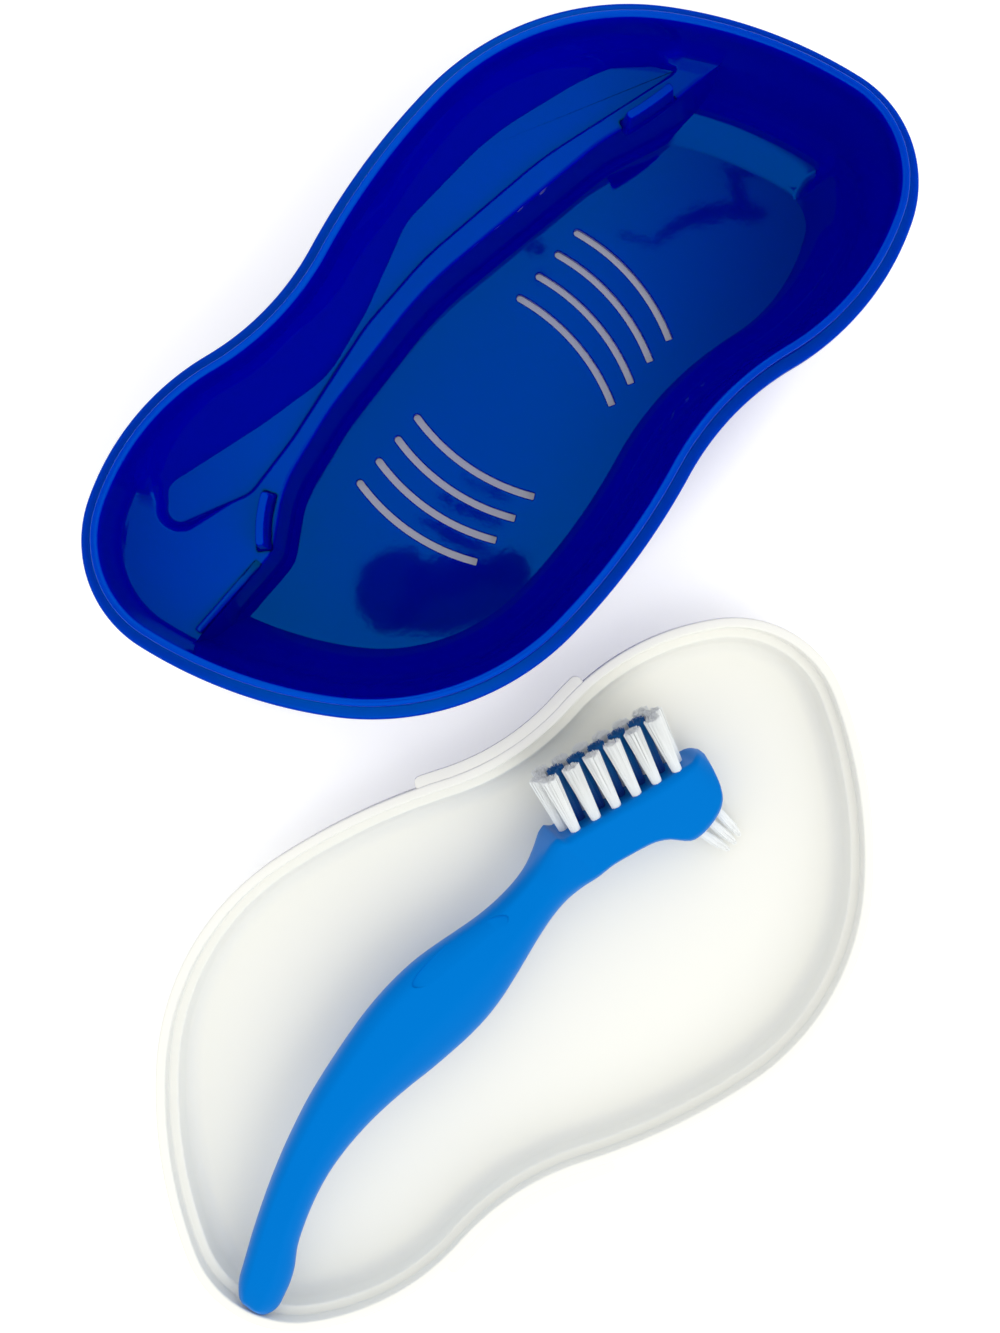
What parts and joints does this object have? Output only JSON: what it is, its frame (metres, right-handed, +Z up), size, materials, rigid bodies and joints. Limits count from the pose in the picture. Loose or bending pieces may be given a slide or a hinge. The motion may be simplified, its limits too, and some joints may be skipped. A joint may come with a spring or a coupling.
{
  "type": "denture case",
  "caption": "Open denture case with an S-shaped outline: vented tray with a raised brush shelf, its lift-off lid lying inside up beside it, and a denture brush in the lid.",
  "frame": {"origin": "middle of the footprint of the open case, on the surface that tray and lid stand on", "axes": "+Z up; +Y from the lid towards the tray; +X to the right as seen from above with +Y away"},
  "size_m": [0.1612, 0.263, 0.038],
  "materials": {
    "tray_plastic": "glossy moulded",
    "lid_plastic": "milky satin",
    "handle_plastic": "satin moulded",
    "white_bristle": "fine filaments",
    "blue_bristle": "fine filaments",
    "anchor_metal": "stamped"
  },
  "bodies": {
    "tray": {"tray": "tray_plastic"},
    "lid": {"lid": "lid_plastic"},
    "brush": {"brush_handle": "handle_plastic", "upper_tuft_1": "white_bristle", "upper_tuft_2": "white_bristle", "upper_tuft_3": "white_bristle", "upper_tuft_4": "white_bristle", "upper_tuft_5": "white_bristle", "upper_tuft_6": "white_bristle", "centre_tuft_1": "blue_bristle", "centre_tuft_2": "blue_bristle", "centre_tuft_3": "blue_bristle", "centre_tuft_4": "blue_bristle", "centre_tuft_5": "blue_bristle", "end_tuft_1": "white_bristle", "end_tuft_2": "white_bristle", "lower_tuft_1": "white_bristle", "lower_tuft_2": "white_bristle", "lower_tuft_3": "white_bristle", "lower_tuft_4": "white_bristle", "lower_tuft_5": "white_bristle", "lower_tuft_6": "white_bristle", "toe_tuft_1": "white_bristle", "toe_tuft_2": "white_bristle", "toe_tuft_3": "white_bristle", "tuft_anchors": "anchor_metal"}
  },
  "joints": [
    {"name": "lid_lift", "type": "slide", "parent": "tray", "child": "lid", "axis": [0, 0, 1], "range_m": [0, 0.1]},
    {"name": "brush_lift", "type": "slide", "parent": "lid", "child": "brush", "axis": [0, 0, 1], "range_m": [0, 0.08]}
  ]
}
